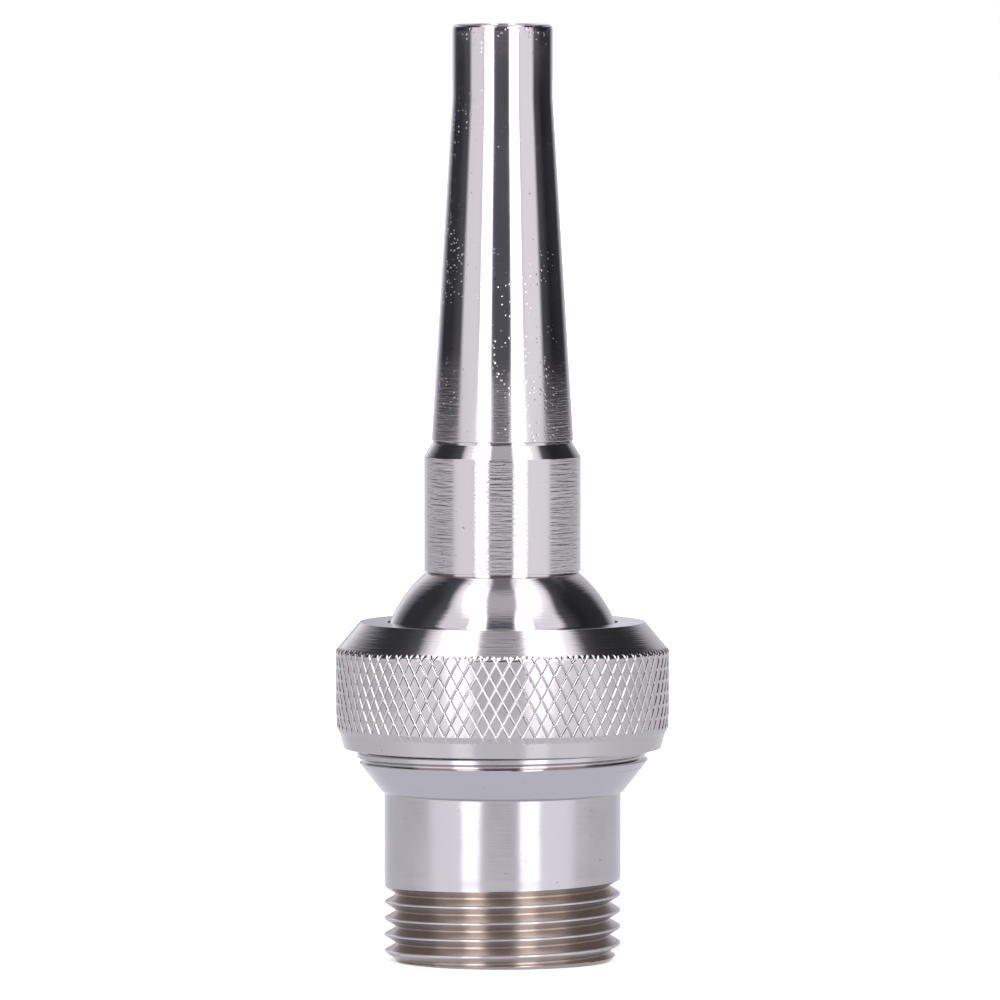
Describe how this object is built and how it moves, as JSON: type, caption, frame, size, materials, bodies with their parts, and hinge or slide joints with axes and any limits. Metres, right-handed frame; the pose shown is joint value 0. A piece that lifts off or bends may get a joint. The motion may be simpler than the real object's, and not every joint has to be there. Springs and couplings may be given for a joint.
{
  "type": "swivel jet nozzle",
  "caption": "Stainless steel straight-jet water nozzle on a swivel ball, clamped by a knurled union nut, with a male pipe thread inlet.",
  "frame": {"origin": "centre of the flat inlet end face, on which the nozzle stands", "axes": "+Z along the axis of the inlet and of the straight spout, towards the outlet; X and Y are square to it, and the swivel tilts about an axis along X at rest"},
  "size_m": [0.047, 0.047, 0.1319],
  "materials": {
    "body_steel": "satin",
    "nut_steel": "gloss",
    "ball_steel": "gloss",
    "spout_steel": "polished",
    "vane_steel": "satin",
    "clip_steel": "satin",
    "ptfe": "matte",
    "seal_rubber": "matte"
  },
  "bodies": {
    "inlet": {"inlet_body": "body_steel", "seat_o_ring": "seal_rubber"},
    "seat": {"ball_seat_ring": "ptfe"},
    "ball_and_spout": {"swivel_ball": "ball_steel", "jet_spout": "spout_steel", "spout_o_ring": "seal_rubber", "straightener_vane_a": "vane_steel", "straightener_vane_b": "vane_steel", "straightener_clip": "clip_steel"},
    "slip_ring": {"upper_slip_ring": "ptfe"},
    "nut": {"knurled_nut": "nut_steel"}
  },
  "joints": [
    {"name": "swivel_round", "type": "hinge", "parent": "inlet", "child": "seat", "pos_m": [0, 0, 0.0416], "axis": [0, 0, 1], "continuous": true},
    {"name": "swivel_tilt", "type": "hinge", "parent": "seat", "child": "ball_and_spout", "pos_m": [0, 0, 0.0416], "axis": [1, 0, 0], "range_deg": [-15, 15]},
    {"name": "nut_lift", "type": "slide", "parent": "inlet", "child": "slip_ring", "axis": [0, 0, 1], "range_m": [0, 0.006]},
    {"name": "nut_turn", "type": "hinge", "parent": "slip_ring", "child": "nut", "pos_m": [0, 0, 0.0389], "axis": [0, 0, 1], "range_deg": [0, 1440]}
  ],
  "couplings": [
    {"joint": "nut_lift", "follows": "nut_turn", "m_per_rad": 0.00023873}
  ]
}
